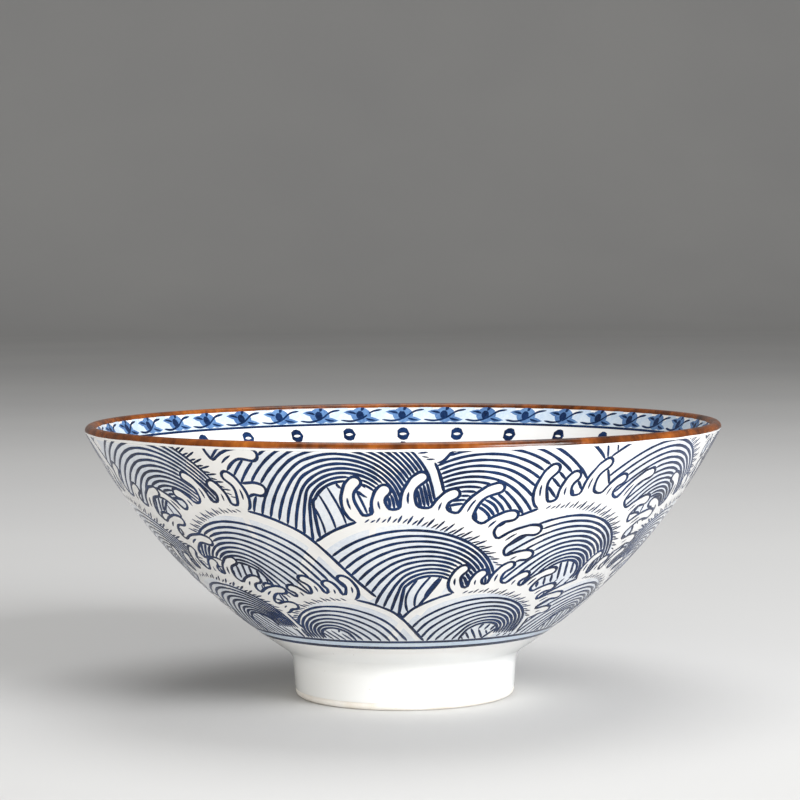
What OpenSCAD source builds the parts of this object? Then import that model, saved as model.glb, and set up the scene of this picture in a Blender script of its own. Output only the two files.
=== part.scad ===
// Flared porcelain teacup: a clay bowl on a clay foot ring, coats of clear glaze inside,
// outside and under the foot, a brown glaze lip, and prints that lie in the clear glaze.
// All sections are drawn on the right of the Z axis and turned round it. Z = 0 is the table.

/* [Bowl] */
// Diameter over the lip
rim_d = 90; // [80:1:100]
// Height from the table to the top of the lip
height = 39; // [36:0.5:43]
// Radius of the curve that the outside of the wall follows
wall_curve_r = 83; // [76:1:100]
// Wall thickness at the lip
lip_thick = 1.5; // [1.3:0.1:2]
// Wall thickness low on the bowl
wall_thick = 2.2; // [2:0.1:2.8]
// Height of the inside of the bowl's floor, on the axis
floor_z = 7.4; // [7:0.1:8]

/* [Foot] */
// Outer diameter of the foot at the table, before its edge is rounded
foot_d = 31.2; // [29:0.2:33]
// How far the foot leans out from the table to its neck, on the radius
foot_flare = 0.6; // [0.2:0.05:1]
// Width of the foot's ring
foot_ring_w = 2.8; // [2.4:0.1:4]
// Radius of the rounded edges of the foot
foot_edge_r = 0.7; // [0.4:0.05:0.9]
// Depth of the hollow under the foot
recess_depth = 4.4; // [4.2:0.1:4.6]
// Radius of the hollow curve where the foot runs into the bowl
neck_fillet_r = 2.8; // [1.6:0.1:3.2]

/* [Glaze] */
// Thickness of a coat of glaze
glaze_t = 0.2; // [0.15:0.01:0.25]
// How far the brown glaze runs down the wall from the lip's rounded edge
lip_run = 0.2; // [0.05:0.05:1.5]
// Height of the bare clay round the bottom of the foot
bare_edge_h = 0.9; // [0.8:0.05:1.4]

/* [Prints] */
// Height of the thick line round the foot of the bowl
foot_line_z = 9.6; // [9.4:0.1:11]
// Distance up the wall from the thick foot line to the thin one
foot_line_gap = 1.6; // [1:0.1:2.5]
// Width of a thin ring line
line_w = 0.4; // [0.2:0.05:0.6]
// Radius of the leaf border's lower edge, inside
border_r = 42.1; // [41.4:0.1:42.6]
// Radius of the ring line round the picture on the floor, inside
picture_r = 38.8; // [37:0.1:39.4]

/* [Hidden] */
$fn = 360;
far = 200;                      // longer than any cut has to reach
print_t = glaze_t / 2;          // a print lies in the outer half of its coat of glaze
thick_line_w = 1.4 * line_w;
lip_r = lip_thick / 2;
lip = [rim_d / 2 - lip_r, height - lip_r];      // centre of the lip's round section

function along(a) = [cos(a), sin(a)];
function angle_to(from, to) = atan2(to[1] - from[1], to[0] - from[0]);
function toward(from, to) = (to - from) / norm(to - from);

// Centre of the circle that is r0 from p0 and r1 from p1, on the side of the cup's axis
function centre_from(p0, r0, p1, r1) =
    let (
        span = norm(p1 - p0),
        ahead = (r0 * r0 - r1 * r1 + span * span) / (2 * span),
        aside = sqrt(r0 * r0 - ahead * ahead),
        way = (p1 - p0) / span
    )
    p0 + ahead * way + aside * [-way[1], way[0]];

// The outside of the wall is one arc from the foot's neck to the lip
belly = [20, 8.8];              // a point low on that arc
outer_c = centre_from(belly, wall_curve_r, lip, wall_curve_r - lip_r);
lip_a = angle_to(outer_c, lip);

// The inside of the wall is one arc too, and the round floor meets it smoothly
inner_wall_r = wall_curve_r - (lip_thick + wall_thick) / 2;
belly_inside = belly + wall_thick * toward(belly, outer_c);
inner_c = centre_from(belly_inside, inner_wall_r, lip, inner_wall_r + lip_r);
lip_inner_a = angle_to(inner_c, lip);
drop = inner_c[1] - floor_z;
floor_r = (drop * drop + inner_c[0] * inner_c[0] - inner_wall_r * inner_wall_r)
    / (2 * (drop - inner_wall_r));
floor_c = [0, floor_z + floor_r];
meet = inner_c + inner_wall_r * toward(inner_c, floor_c);

// The brown glaze ends at one height inside and outside
lip_z = lip[1] + lip_r * sin(lip_a) - lip_run;

// The outer face of the foot is a straight lean, up to the hollow curve of its neck
foot_r = foot_d / 2;
lean = atan2(foot_flare, belly[1]);
foot_out = [cos(lean), -sin(lean)];             // square to the foot's face, away from it
foot_up = [sin(lean), cos(lean)];               // up the foot's face
function on_foot(z, out = 0) = [foot_r + z * tan(lean), z] + out * foot_out;

// The neck's curve touches the foot's face and the outside of the wall
function neck_centre() =
    let (
        start = on_foot(0, neck_fillet_r),
        back = start - outer_c,
        reach = wall_curve_r + neck_fillet_r,
        half = back * foot_up
    )
    start + (-half - sqrt(half * half - back * back + reach * reach)) * foot_up;
neck = neck_centre();
neck_low = neck - neck_fillet_r * foot_out;
neck_high = outer_c + wall_curve_r * toward(outer_c, neck);

recess_r = foot_r - foot_ring_w;
recess_corner_r = 1;
join_z = recess_depth + glaze_t;                // the foot ring is joined to the bowl here

module above(z) {
    translate([0, z]) square([far, far]);
}

module below(z) {
    translate([0, z - far]) square([far, far]);
}

// The hollow of the bowl, with the clay set back by a coat's thickness
module hollow(back = 0) {
    intersection() {
        translate(inner_c) circle(inner_wall_r + back);
        above(meet[1]);
    }
    intersection() {
        translate(floor_c) circle(floor_r + back);
        below(meet[1]);
    }
}

// The hollow under the foot
module recess(back = 0) {
    r = recess_r + back;
    h = recess_depth + back;
    corner = recess_corner_r;
    translate([0, -far]) square([r, far + h - corner]);
    translate([0, -far]) square([r - corner, far + h]);
    translate([r - corner, h - corner]) intersection() {
        circle(corner);
        square(corner);
    }
}

// The outline of the whole cup, filled in to the axis
module outline(back = 0) {
    edge = foot_edge_r;
    edge_c = on_foot(edge * (1 - sin(lean)), -edge - back);
    difference() {
        union() {
            intersection() {
                translate(outer_c) circle(wall_curve_r - back);
                above(neck_high[1]);
            }
            difference() {
                polygon([
                    [0, 0],
                    [edge_c[0], 0],
                    edge_c,
                    edge_c + edge * foot_out,
                    neck_low - back * foot_out,
                    neck,
                    neck_high + back * toward(neck_high, outer_c),
                    [0, neck_high[1]],
                ]);
                translate(neck) circle(neck_fillet_r + back);
            }
            translate(edge_c) circle(edge);
        }
        past_lip();
    }
    translate(lip) circle(lip_r - back);
}

// What lies beyond the two sides of the lip's round section
module past_lip() {
    polygon([
        lip,
        lip + far * along(lip_a),
        lip + far * along(lip_a + 90),
        lip + far * along(lip_inner_a + 180),
    ]);
}

// The section of the cup, with its surface set back by a coat's thickness
module section(back = 0) {
    difference() {
        outline(back);
        difference() {
            hollow(back);
            translate(lip) circle(lip_r - back);
        }
        recess(back);
        inner_foot_edge(back);
    }
}

// What the rounding of the foot's inner bottom edge takes away
module inner_foot_edge(back = 0) {
    edge = foot_edge_r;
    difference() {
        translate([recess_r + back - edge, 0]) square([2 * edge, edge]);
        translate([recess_r + back + edge, edge]) circle(edge);
    }
}

// A coat of glaze on every face of the cup
module coat() {
    difference() {
        section();
        section(glaze_t);
    }
}

// A ring of print in the outer coat, that starts a distance up the wall from the foot line
module outer_print(start, end) {
    foot_line_a = asin((foot_line_z - outer_c[1]) / wall_curve_r);
    turn = 180 / PI / wall_curve_r;
    intersection() {
        difference() {
            translate(outer_c) circle(wall_curve_r);
            translate(outer_c) circle(wall_curve_r - print_t);
        }
        polygon([
            outer_c,
            outer_c + far * along(foot_line_a + start * turn),
            outer_c + far * along(foot_line_a + end * turn),
        ]);
        below(lip_z);
    }
}

// A ring of print in the inner coat, from one radius to another
module inner_print(from, to) {
    intersection() {
        difference() {
            hollow(print_t);
            hollow();
        }
        translate([from, 0]) square([to - from, lip_z]);
    }
}

module wave_print_section() {
    outer_print(foot_line_gap + line_w / 2, far / 4);
}

module foot_line_sections() {
    outer_print(-thick_line_w / 2, thick_line_w / 2);
    outer_print(foot_line_gap - line_w / 2, foot_line_gap + line_w / 2);
}

module leaf_border_section() {
    inner_print(border_r, rim_d);
}

module bead_band_section() {
    inner_print(picture_r + line_w / 2, border_r);
}

module picture_ring_section() {
    inner_print(picture_r - line_w / 2, picture_r + line_w / 2);
}

module picture_section() {
    inner_print(0, picture_r - line_w / 2);
}

module clay_bowl() {
    color("gainsboro") rotate_extrude() intersection() {
        section(glaze_t);
        above(join_z);
    }
}

module clay_foot_ring() {
    color("antiquewhite") rotate_extrude() intersection() {
        section(glaze_t);
        below(join_z);
    }
}

module outer_glaze() {
    color("whitesmoke") rotate_extrude() difference() {
        intersection() {
            coat();
            above(bare_edge_h);
            below(lip_z);
        }
        hollow(lip_thick / 2);
        recess(foot_ring_w / 2);
        wave_print_section();
        foot_line_sections();
    }
}

module inner_glaze() {
    color("whitesmoke") rotate_extrude() difference() {
        intersection() {
            coat();
            hollow(lip_thick / 2);
            below(lip_z);
        }
        leaf_border_section();
        bead_band_section();
        picture_ring_section();
        picture_section();
    }
}

module base_glaze() {
    color("whitesmoke") rotate_extrude() intersection() {
        coat();
        recess(foot_ring_w / 2);
        above(bare_edge_h);
    }
}

module lip_glaze() {
    color("saddlebrown") rotate_extrude() intersection() {
        coat();
        above(lip_z);
    }
}

module wave_print() {
    color("steelblue") rotate_extrude() wave_print_section();
}

module foot_line_pair() {
    color("midnightblue") rotate_extrude() foot_line_sections();
}

module leaf_border_print() {
    color("royalblue") rotate_extrude() leaf_border_section();
}

module bead_band_print() {
    color("lavender") rotate_extrude() bead_band_section();
}

module picture_ring_line() {
    color("midnightblue") rotate_extrude() picture_ring_section();
}

module picture_print() {
    color("lightsteelblue") rotate_extrude() picture_section();
}

clay_bowl();
clay_foot_ring();
outer_glaze();
inner_glaze();
base_glaze();
lip_glaze();
wave_print();
foot_line_pair();
leaf_border_print();
bead_band_print();
picture_ring_line();
picture_print();
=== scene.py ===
"""Looks of a flared blue and white porcelain teacup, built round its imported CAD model.

Smooth turned surfaces stand for the coats of glaze, and the prints are drawn on them as thin
raised strips. Sizes are in millimetres until a mesh is made, and the frame is in metres.
"""
import math
import random

import bmesh
import bpy
import numpy as np
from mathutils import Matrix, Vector
from mathutils.geometry import delaunay_2d_cdt


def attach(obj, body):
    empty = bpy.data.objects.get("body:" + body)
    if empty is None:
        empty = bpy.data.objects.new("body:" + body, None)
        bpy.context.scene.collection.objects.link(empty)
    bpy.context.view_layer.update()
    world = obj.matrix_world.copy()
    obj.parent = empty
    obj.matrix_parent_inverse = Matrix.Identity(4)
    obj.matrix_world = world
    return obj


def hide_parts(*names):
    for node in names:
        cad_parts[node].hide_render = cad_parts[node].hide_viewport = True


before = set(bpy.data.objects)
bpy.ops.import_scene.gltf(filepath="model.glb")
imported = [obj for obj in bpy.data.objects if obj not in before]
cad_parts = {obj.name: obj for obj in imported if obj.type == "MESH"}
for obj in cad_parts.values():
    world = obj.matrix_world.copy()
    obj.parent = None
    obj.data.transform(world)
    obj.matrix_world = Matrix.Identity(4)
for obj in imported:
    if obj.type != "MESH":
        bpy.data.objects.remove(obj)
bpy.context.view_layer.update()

MM = 0.001

# ------------------------ sizes, the same as the CAD's

RIM_R = 45.0
HEIGHT = 39.0
WALL_CURVE_R = 83.0
LIP_THICK = 1.5
WALL_THICK = 2.2
FLOOR_Z = 7.4
BELLY = np.array([20.0, 8.8])           # a point low on the outside of the wall, as (r, z)
FOOT_R = 15.6
FOOT_FLARE = 0.6
FOOT_RING_W = 2.8
FOOT_EDGE_R = 0.7
RECESS_DEPTH = 4.4
RECESS_CORNER_R = 1.0
NECK_FILLET_R = 2.8
LIP_RUN = 0.2
BARE_EDGE_H = 0.9
FOOT_LINE_Z = 9.6
FOOT_LINE_GAP = 1.6
LINE_W = 0.4
BORDER_R = 42.1
PICTURE_R = 38.8

UNDER_BROWN = math.radians(50)          # how far round the lip the clear glaze goes, under the brown
TURNS = 360                             # steps round a turned surface


def along(angle):
    return np.array([math.cos(angle), math.sin(angle)])


def angle_to(start, end):
    return math.atan2(end[1] - start[1], end[0] - start[0])


def toward(start, end):
    return (end - start) / np.linalg.norm(end - start)


def centre_from(p0, r0, p1, r1):
    """The centre of the circle that is r0 from p0 and r1 from p1, on the side of the axis."""
    span = np.linalg.norm(p1 - p0)
    ahead = (r0 * r0 - r1 * r1 + span * span) / (2 * span)
    way = (p1 - p0) / span
    return p0 + ahead * way + math.sqrt(r0 * r0 - ahead * ahead) * np.array([-way[1], way[0]])


LIP_R = LIP_THICK / 2
LIP = np.array([RIM_R - LIP_R, HEIGHT - LIP_R])
OUTER_C = centre_from(BELLY, WALL_CURVE_R, LIP, WALL_CURVE_R - LIP_R)
INNER_WALL_R = WALL_CURVE_R - (LIP_THICK + WALL_THICK) / 2
INNER_C = centre_from(BELLY + WALL_THICK * toward(BELLY, OUTER_C), INNER_WALL_R, LIP, INNER_WALL_R + LIP_R)
DROP = INNER_C[1] - FLOOR_Z
FLOOR_R = (DROP**2 + INNER_C[0] ** 2 - INNER_WALL_R**2) / (2 * (DROP - INNER_WALL_R))
FLOOR_C = np.array([0.0, FLOOR_Z + FLOOR_R])
MEET = INNER_C + INNER_WALL_R * toward(INNER_C, FLOOR_C)
LIP_A = angle_to(OUTER_C, LIP)
LIP_INNER_A = angle_to(INNER_C, LIP)
LIP_Z = LIP[1] + LIP_R * math.sin(LIP_A) - LIP_RUN

LEAN = math.atan2(FOOT_FLARE, BELLY[1])
FOOT_OUT = np.array([math.cos(LEAN), -math.sin(LEAN)])
FOOT_UP = np.array([math.sin(LEAN), math.cos(LEAN)])
RECESS_R = FOOT_R - FOOT_RING_W


def on_foot(z, out=0.0):
    """A point on the outer face of the foot, moved out from it."""
    return np.array([FOOT_R + z * math.tan(LEAN), z]) + out * FOOT_OUT


def neck_centre():
    start = on_foot(0, NECK_FILLET_R)
    back = start - OUTER_C
    half = back @ FOOT_UP
    reach = WALL_CURVE_R + NECK_FILLET_R
    return start + (-half - math.sqrt(half * half - back @ back + reach * reach)) * FOOT_UP


NECK = neck_centre()


# ------------------------ turned surfaces

def arc(centre, radius, start, end, step=0.9):
    """Points of an arc as (r, z), about step apart."""
    count = max(3, int(abs(end - start) * radius / step) + 1)
    return [centre + radius * along(a) for a in np.linspace(start, end, count)]


def angle_at(centre, radius, z):
    """The angle at which an arc on the right of its centre reaches a height."""
    return math.asin((z - centre[1]) / radius)


def outside_profile(back=0.0, step=0.9):
    """The outside from the brown lip down to the bare edge of the foot, set back into the clay."""
    wall_r = WALL_CURVE_R - back
    neck_a = angle_to(OUTER_C, NECK)
    top = arc(LIP, LIP_R - back, UNDER_BROWN, LIP_A, 0.15)
    wall = arc(OUTER_C, wall_r, LIP_A, neck_a, step)
    neck = arc(NECK, NECK_FILLET_R + back, neck_a + math.pi, math.pi - LEAN, min(step, 0.25))
    foot_face = [on_foot(z, -back) for z in (4.0, 2.4, BARE_EDGE_H + 0.14)]
    return top + wall[1:] + neck[1:] + foot_face


def inside_profile(back=0.0, step=0.9):
    """The inside from the brown lip down to the axis."""
    wall_r, floor_r = INNER_WALL_R + back, FLOOR_R + back
    meet_a = angle_to(INNER_C, FLOOR_C)
    top = arc(LIP, LIP_R - back, math.pi - UNDER_BROWN, math.pi + LIP_INNER_A, 0.15)
    wall = arc(INNER_C, wall_r, LIP_INNER_A, meet_a, step)
    return top + wall[1:] + arc(FLOOR_C, floor_r, meet_a, -math.pi / 2, step)[1:]


def recess_profile(back=0.0, step=0.5):
    """The hollow under the foot, from the axis out and down to the bare edge."""
    r, z, corner = RECESS_R + back, RECESS_DEPTH + back, RECESS_CORNER_R
    centre = np.array([r - corner, z - corner])
    top = [np.array([0.0, z]), np.array([r / 2, z])]
    side = [np.array([r, 2.0]), np.array([r, BARE_EDGE_H + 0.1])]
    return top + arc(centre, corner, math.pi / 2, 0, step / 2) + side


def turned(name, profile):
    """A closed solid turned from a closed profile of (r, z) points."""
    angles = np.arange(TURNS) * 2 * math.pi / TURNS
    rows = []
    for r, z in profile:
        if r < 1e-6:
            rows.append(np.array([[0, 0, z]]))
        else:
            rows.append(np.stack([r * np.sin(angles), -r * np.cos(angles), 0 * angles + z], 1))
    return lathe(name, rows)


def lathe(name, rows):
    """A closed solid from rows of points, which each go round the axis or are one point on it."""
    starts = np.concatenate([[0], np.cumsum([len(row) for row in rows])]).tolist()
    around = range(TURNS)
    faces = []
    for k, row in enumerate(rows):
        other = (k + 1) % len(rows)
        a, b = starts[k], starts[other]
        if len(row) == 1 and len(rows[other]) == 1:
            continue
        for i in around:
            j = (i + 1) % TURNS
            if len(row) == 1:
                faces.append((a, b + j, b + i))
            elif len(rows[other]) == 1:
                faces.append((a + i, a + j, b))
            else:
                faces.append((a + i, a + j, b + j, b + i))
    return mesh_object(name, np.concatenate(rows), faces)


def mesh_object(name, vertices, faces, closed=True):
    """A smooth mesh from vertices in mm. The faces of a closed one are turned outward."""
    mesh = bpy.data.meshes.new(name)
    mesh.from_pydata((vertices * MM).tolist(), [], faces)
    mesh.validate()
    if closed:
        work = bmesh.new()
        work.from_mesh(mesh)
        bmesh.ops.recalc_face_normals(work, faces=work.faces)
        work.to_mesh(mesh)
        work.free()
    mesh.polygons.foreach_set("use_smooth", [True] * len(mesh.polygons))
    mesh.set_sharp_from_angle(angle=math.radians(40))
    mesh.update()
    piece = bpy.data.objects.new(name, mesh)
    bpy.context.scene.collection.objects.link(piece)
    return piece


def finish_piece(piece, material, slot, *nodes):
    """Gives a piece its material and body, and hides the CAD nodes that it stands for; the slot is not used.
    """
    piece.data.materials.append(material)
    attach(piece, "root")
    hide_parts(*nodes)


# ------------------------ materials

class Shader:
    """A Principled material whose nodes are added by short calls."""

    def __init__(self, name, roughness=0.1, ior=1.5):
        self.material = bpy.data.materials.new(name)
        self.material.use_nodes = True
        self.tree = self.material.node_tree
        self.bsdf = self.tree.nodes["Principled BSDF"]
        self.feed("Roughness", roughness)
        self.feed("IOR", ior)
        self.place = self.tree.nodes.new("ShaderNodeTexCoord").outputs["Object"]

    def put(self, socket, value):
        """Links a socket to another node's output, or sets it to a number, a vector or a colour."""
        if isinstance(value, bpy.types.NodeSocket):
            self.tree.links.new(value, socket)
        elif isinstance(value, tuple):
            socket.default_value = (*value, 1)[:len(socket.default_value)]
        else:
            socket.default_value = value

    def feed(self, name, value):
        """Puts one input of the shader to a constant or to another node's output."""
        self.put(self.bsdf.inputs[name], value)

    def node(self, kind, inputs):
        """A new node, with some of its inputs put to constants or outputs."""
        node = self.tree.nodes.new("ShaderNode" + kind)
        for name, value in inputs.items():
            self.put(node.inputs[name], value)
        return node

    def noise(self, scale, detail, rough=0.5, stretch=(1, 1, 1)):
        """A noise pattern with features about 1 / scale metres across."""
        place = self.node("Mapping", {"Scale": stretch, "Vector": self.place}).outputs["Vector"]
        node = self.node("TexNoise", {"Scale": scale, "Detail": detail, "Roughness": rough, "Vector": place})
        return node.outputs["Fac"]

    def height(self):
        """The height above the table, in metres."""
        return self.node("SeparateXYZ", {"Vector": self.place}).outputs["Z"]

    def ramp(self, source, *stops):
        """Colours, or grey levels, that follow a value through (value, colour) stops."""
        node = self.node("ValToRGB", {"Fac": source})
        elements = node.color_ramp.elements
        while len(elements) < len(stops):
            elements.new(0.5)
        for element, (at, colour) in zip(elements, stops):
            element.position = at
            element.color = (*colour, 1) if isinstance(colour, tuple) else (colour, colour, colour, 1)
        return node.outputs["Color"]

    def span(self, source, low, high, to_low, to_high):
        """A value moved from one range to another."""
        node = self.node("MapRange", {"From Min": low, "From Max": high, "To Min": to_low,
                                      "To Max": to_high, "Value": source})
        return node.outputs["Result"]

    def mix(self, amount, a, b):
        """Colour a where the amount is 0, and b where it is 1."""
        node = self.node("Mix", {})
        node.data_type = "RGBA"
        for name, value in (("Factor", amount), ("A", a), ("B", b)):
            self.put(node.inputs[name], value)
        return node.outputs["Result"]

    def blend(self, a, share_a, b, share_b):
        """The sum of two values, each times its share."""
        parts = []
        for value, share in ((a, share_a), (b, share_b)):
            part = self.node("Math", {0: value, 1: share})
            part.operation = "MULTIPLY"
            parts.append(part.outputs["Value"])
        return self.node("Math", {0: parts[0], 1: parts[1]}).outputs["Value"]

    def bump(self, source, distance, strength):
        """Relief of a height in metres."""
        node = self.node("Bump", {"Distance": distance, "Strength": strength, "Height": source})
        self.feed("Normal", node.outputs["Normal"])


def glaze_material():
    """Clear glaze over white porcelain: a faint cloudiness, a cool tint where it lies thick
    in the neck, warm pinholes, and the slight waviness of a fired surface."""
    s = Shader("clear_glaze_on_porcelain", ior=1.52)
    cloud = s.ramp(s.noise(90, 3), (0.3, (0.86, 0.855, 0.84)), (0.7, (0.91, 0.905, 0.89)))
    pooled = s.span(s.height(), 0.0088, 0.0076, 0.0, 0.4)
    tinted = s.mix(pooled, cloud, (0.80, 0.83, 0.83))
    specks = s.ramp(s.noise(1500, 1.5), (0.205, 0.0), (0.215, 1.0))
    s.feed("Base Color", s.mix(specks, (0.42, 0.36, 0.28), tinted))
    s.feed("Roughness", s.span(s.noise(400, 2), 0.3, 0.7, 0.05, 0.11))
    s.bump(s.noise(420, 2), 0.00002, 0.5)
    s.feed("Subsurface Weight", 0.12)
    s.feed("Subsurface Radius", (0.0012, 0.001, 0.0008))
    s.feed("Subsurface Scale", 1.0)
    return s.material


def ink_material(name, dark, light):
    """Cobalt under the glaze: uneven, as a print is, and as glossy as the glaze over it."""
    s = Shader(name, ior=1.52)
    slow = s.noise(160, 3)
    fine = s.noise(2800, 2)
    tone = s.blend(slow, 0.6, fine, 0.4)
    s.feed("Base Color", s.ramp(tone, (0.38, dark), (0.62, light)))
    s.feed("Roughness", s.span(fine, 0.3, 0.7, 0.07, 0.14))
    s.feed("Specular IOR Level", 0.2)
    return s.material


def lip_material():
    """Iron glaze that runs from dark brown where it is thick to orange where it thins."""
    s = Shader("brown_iron_glaze", ior=1.55)
    patches = s.noise(140, 4, 0.6)
    streaks = s.noise(900, 3, 0.6, (1, 1, 0.3))
    tone = s.blend(patches, 0.72, streaks, 0.28)
    s.feed("Base Color", s.ramp(tone, (0.36, (0.030, 0.008, 0.002)), (0.46, (0.10, 0.024, 0.003)),
                                (0.56, (0.22, 0.056, 0.006)), (0.70, (0.42, 0.125, 0.014))))
    s.feed("Roughness", s.span(streaks, 0.3, 0.7, 0.12, 0.26))
    s.feed("Specular IOR Level", 0.3)
    s.bump(s.noise(1200, 3), 0.00003, 0.6)
    return s.material


def bare_clay_material():
    """Unglazed porcelain: chalky, faintly toasted, with fine grit."""
    s = Shader("bare_porcelain", roughness=0.7)
    grit = s.noise(5200, 4, 0.7)
    toast = s.noise(260, 3)
    warm = s.ramp(toast, (0.35, (0.74, 0.69, 0.61)), (0.65, (0.83, 0.81, 0.77)))
    s.feed("Base Color", s.mix(s.span(grit, 0.35, 0.7, 0.0, 0.5), warm, (0.87, 0.86, 0.83)))
    s.feed("Roughness", s.span(grit, 0.2, 0.8, 0.55, 0.85))
    s.bump(grit, 0.00006, 0.8)
    return s.material


def ground_material():
    """Glaze over the picture's ground: a little greyer and mottled."""
    s = Shader("picture_ground_glaze", ior=1.52)
    mottle = s.blend(s.noise(120, 3), 0.5, s.noise(1400, 2), 0.5)
    s.feed("Base Color", s.ramp(mottle, (0.36, (0.60, 0.62, 0.64)), (0.60, (0.76, 0.755, 0.74))))
    s.feed("Roughness", s.span(s.noise(400, 2), 0.3, 0.7, 0.06, 0.12))
    s.bump(s.noise(420, 2), 0.00002, 0.5)
    return s.material


def floor_material():
    """The stage's plain pale floor."""
    s = Shader("pale_floor", roughness=0.8)
    s.feed("Specular IOR Level", 0.1)
    s.feed("Base Color", s.ramp(s.noise(6, 2), (0.3, (0.60, 0.60, 0.60)), (0.7, (0.63, 0.63, 0.625))))
    return s.material


# ------------------------ drawing on a flat map
# A curve is an array of complex numbers, x + iy. A motif is (covers, strokes): a test of which
# points it hides, and a list of (curve, width).

THIN, LINE, EDGE = 0.42, 0.54, 0.58     # widths of the strokes outside
FIELD_GRID = 0.2                        # how fine the foam is worked out
rng = random.Random(7)


def as_curve(points):
    return np.array([complex(x, y) for x, y in points])


def even(curve, count):
    """The same curve as count points, evenly spaced."""
    run = np.concatenate([[0], np.cumsum(np.abs(np.diff(curve)))])
    at = np.linspace(0, run[-1], count)
    return np.interp(at, run, curve.real) + 1j * np.interp(at, run, curve.imag)


def resample(curve, step):
    """The same curve in even steps of about a given length."""
    return even(curve, max(2, int(round(np.abs(np.diff(curve)).sum() / step)) + 1))


def smooth(points, step=0.25, closed=False):
    """A smooth curve through (x, y) points or a curve's points, about step apart."""
    p = points if isinstance(points, np.ndarray) else as_curve(points)
    if closed:
        p = np.concatenate([p[-1:], p, p[:2]])
    else:
        p = np.concatenate([[2 * p[0] - p[1]], p, [2 * p[-1] - p[-2]]])
    t = np.linspace(0, 1, 16, endpoint=False)[:, None]
    a, b, c, d = p[:-3], p[1:-2], p[2:-1], p[3:]
    fine = 0.5 * (2 * b + (c - a) * t + (2 * a - 5 * b + 4 * c - d) * t**2
                  + (3 * b - a - 3 * c + d) * t**3)
    return resample(np.append(fine.T.ravel(), p[-2]), step)


def inside(points, outline):
    """Which points lie inside a closed outline."""
    result = np.zeros(points.shape, bool)
    near = ((points.real > outline.real.min()) & (points.real < outline.real.max())
            & (points.imag > outline.imag.min()) & (points.imag < outline.imag.max()))
    if not near.any():
        return result
    p = points[near][:, None]
    a, b = outline, np.roll(outline, -1)
    crosses = (a.imag > p.imag) != (b.imag > p.imag)
    rise = np.where(a.imag == b.imag, 1, b.imag - a.imag)
    x = a.real + (p.imag - a.imag) * (b.real - a.real) / rise
    result[near] = (crosses & (p.real < x)).sum(1) % 2 == 1
    return result


def runs(curve, keep):
    """The stretches of a curve where keep is true."""
    marks = np.flatnonzero(np.diff(np.concatenate([[0], keep.astype(int), [0]])))
    return [curve[a:b] for a, b in zip(marks[::2], marks[1::2]) if b - a > 3]


def blob_distance(points, fingers):
    """About the distance outside rounded fingers that flow into one another. A finger is a
    chain of (x, y, radius)."""
    sharpness = 5.5
    total = np.full(points.shape, 1e-30)
    for finger in fingers:
        for (x0, y0, r0), (x1, y1, r1) in zip(finger[:-1], finger[1:]):
            a, way = complex(x0, y0), complex(x1 - x0, y1 - y0)
            part = np.clip(((points - a) * way.conjugate()).real / abs(way) ** 2, 0, 1)
            away = np.abs(points - a - part * way) - (r0 + (r1 - r0) * part)
            total += np.exp(-away * sharpness)
    return -np.log(total) / sharpness


def contour(field, x, y):
    """The curves where a gridded field passes zero."""
    sign = field < 0
    points, links = {}, {}

    def crossing(i, j, k, l):
        key = (i, j, k, l)
        if key not in points:
            t = field[j, i] / (field[j, i] - field[l, k])
            points[key] = complex(x[i] + (x[k] - x[i]) * t, y[j] + (y[l] - y[j]) * t)
        return key

    mixed = ((sign[:-1, :-1] != sign[1:, :-1]) | (sign[:-1, :-1] != sign[:-1, 1:])
             | (sign[:-1, :-1] != sign[1:, 1:]))
    for j, i in np.argwhere(mixed):
        right, up = i + 1, j + 1
        sides = [(i, j, right, j), (right, j, right, up), (i, up, right, up), (i, j, i, up)]
        cut = [crossing(*s) for s in sides if sign[s[1], s[0]] != sign[s[3], s[2]]]
        for p, q in zip(cut[::2], cut[1::2]):
            links.setdefault(p, []).append(q)
            links.setdefault(q, []).append(p)
    curves = []
    while links:
        ends = [key for key in links if len(links[key]) == 1]
        at = ends[0] if ends else next(iter(links))
        chain = [at]
        while links.get(at):
            following = links[at].pop()
            links[following].remove(at)
            if not links[at]:
                del links[at]
            at = following
            chain.append(at)
        if at in links and not links[at]:
            del links[at]
        curves.append(np.array([points[key] for key in chain]))
    return curves


def soften(curve):
    """The same curve without a grid's small steps."""
    closed = abs(curve[0] - curve[-1]) < 1e-9
    for _ in range(3):
        if closed:
            core = curve[:-1]
            core = (np.roll(core, 1) + 2 * core + np.roll(core, -1)) / 4
            curve = np.append(core, core[0])
        else:
            core = (curve[:-2] + 2 * curve[1:-1] + curve[2:]) / 4
            curve = np.concatenate([curve[:1], core, curve[-1:]])
    return resample(curve, 0.25)


def oval(x, y, rx, ry, tilt, step=0.25):
    """A closed oval, tilted by degrees."""
    a = np.linspace(0, 2 * math.pi, max(9, int(2 * math.pi * max(rx, ry) / step)))
    return complex(x, y) + (rx * np.cos(a) + 1j * ry * np.sin(a)) * np.exp(1j * math.radians(tilt))


def visible(motifs, shifts=(1,), keep_test=None):
    """Every stroke of the motifs, front ones first, without the stretches that are hidden.
    A motif also hides what lies under its copies, turned by the shifts."""
    shown, covers = [], []
    for cover, strokes in motifs:
        for curve, width in strokes:
            keep = np.ones(len(curve), bool) if keep_test is None else keep_test(curve)
            for test in covers:
                for shift in shifts:
                    keep &= ~test(curve * shift)
            shown += [(run, width) for run in runs(curve, keep)]
        if cover:
            covers.append(cover)
    return shown


# ------------------------ the waves on the outside
# A plain rolling-wave pattern, worked out by rule. It is drawn on the wall unrolled as a fan: x
# and y in mm from the fan's tip, with the front of the cup straight up. The drawing covers half
# of the cup, and is used twice.

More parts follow.
